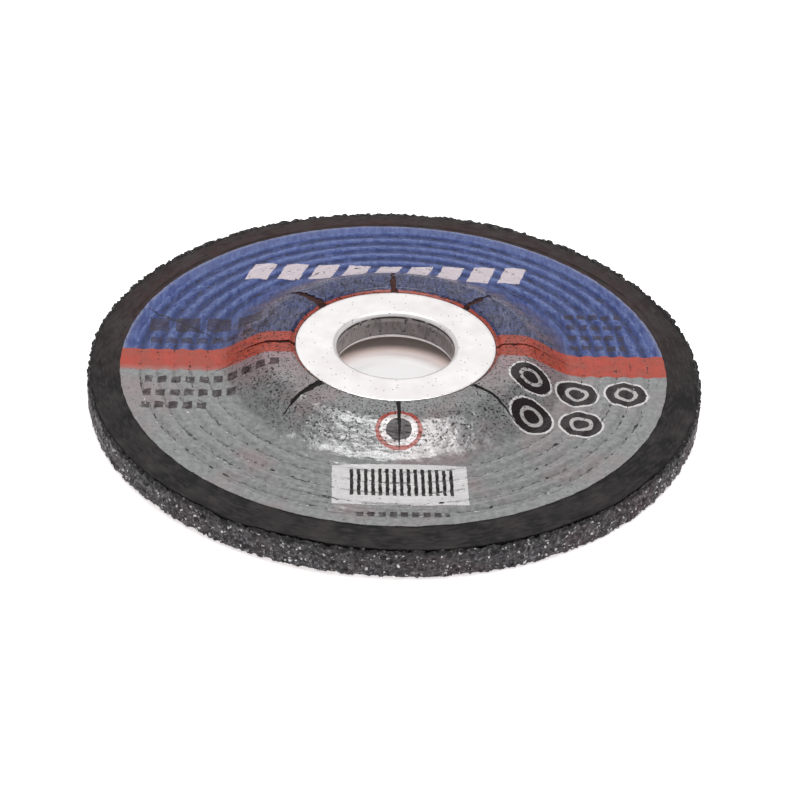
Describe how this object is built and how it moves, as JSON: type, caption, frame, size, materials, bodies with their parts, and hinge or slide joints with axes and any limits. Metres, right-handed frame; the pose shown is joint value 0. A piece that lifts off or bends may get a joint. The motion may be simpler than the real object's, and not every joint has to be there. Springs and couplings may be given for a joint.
{
  "type": "grinding disc",
  "caption": "Depressed-centre grinding disc: thick abrasive rim, raised hub with concentric rings, slit paper label, steel centre ring, glass cloth on the grinding face.",
  "frame": {"origin": "on the disc's axis, in the plane that the grinding face rests on", "axes": "+Z along the axis, out of the label side; +X along the label's stripe"},
  "size_m": [0.115, 0.115, 0.0105],
  "materials": {
    "abrasive": "coarse bonded grit",
    "facing": "matt black sheet",
    "label": "printed paper, slight sheen",
    "ring": "bright plated sheet",
    "cloth": "resin-soaked glass cloth"
  },
  "bodies": {
    "root": {"abrasive_body": "abrasive", "facing_disc": "facing", "label": "label", "centre_ring": "ring", "face_cloth": "cloth"}
  },
  "joints": []
}
